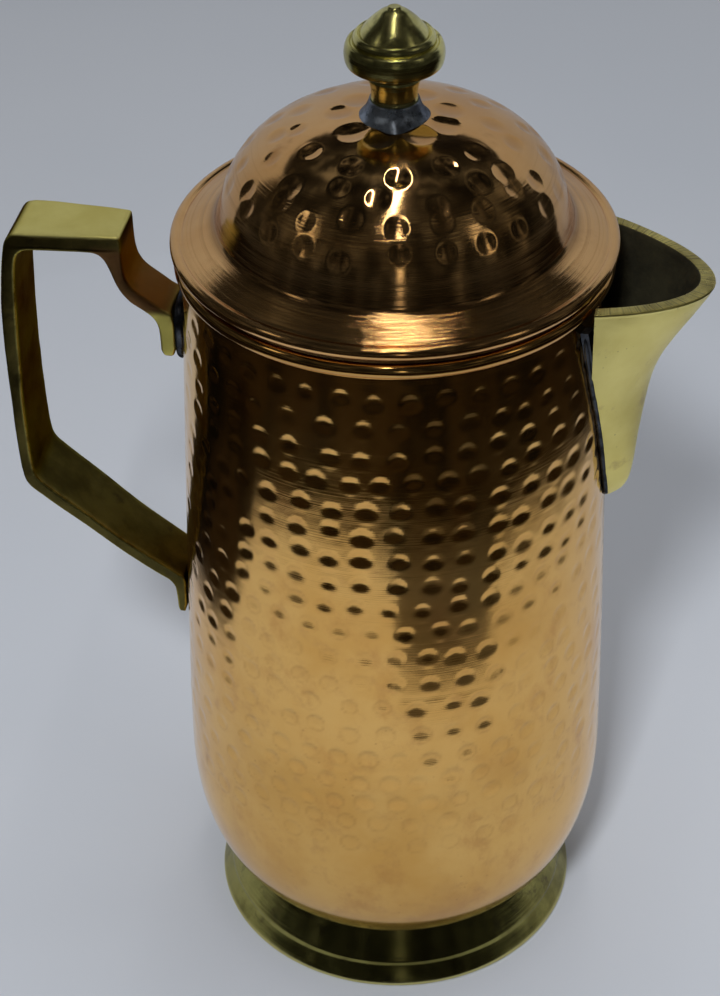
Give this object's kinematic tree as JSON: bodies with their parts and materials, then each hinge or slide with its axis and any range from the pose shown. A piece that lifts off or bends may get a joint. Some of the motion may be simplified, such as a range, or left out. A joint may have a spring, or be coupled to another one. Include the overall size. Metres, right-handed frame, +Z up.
{
  "type": "water jug",
  "caption": "Tall hammered copper water jug with a beak spout, an angular brass strap handle, a ring foot and a lift-off domed lid with a turned brass knob.",
  "frame": {"origin": "on the axis of the jug's round body, in the plane that the foot ring stands on", "axes": "+Z up along the body's axis, +X towards the spout, -X towards the handle, XZ is the plane of symmetry"},
  "size_m": [0.1785, 0.1152, 0.2758],
  "materials": {
    "hammered_copper": "hammered polished copper",
    "lid_copper": "polished copper with turning marks",
    "turned_brass": "turned polished brass",
    "cast_brass_pale": "cast brass, filed and buffed",
    "cast_brass_dark": "cast brass with brown patina",
    "tin_solder": "dull tin solder",
    "steel_wire": "drawn wire"
  },
  "bodies": {
    "jug": {"body_shell": "hammered_copper", "rim_wire": "steel_wire", "foot_ring": "turned_brass", "foot_solder": "tin_solder", "spout": "cast_brass_pale", "spout_solder": "tin_solder", "handle": "cast_brass_dark", "handle_solder_upper": "tin_solder", "handle_solder_lower": "tin_solder"},
    "lid": {"lid": "lid_copper", "lid_rim_wire": "steel_wire", "lid_collar": "lid_copper", "finial": "turned_brass", "finial_solder": "tin_solder"}
  },
  "joints": [
    {"name": "lid_lift", "type": "slide", "parent": "jug", "child": "lid", "axis": [0, 0, 1], "range_m": [0, 0.1]}
  ]
}
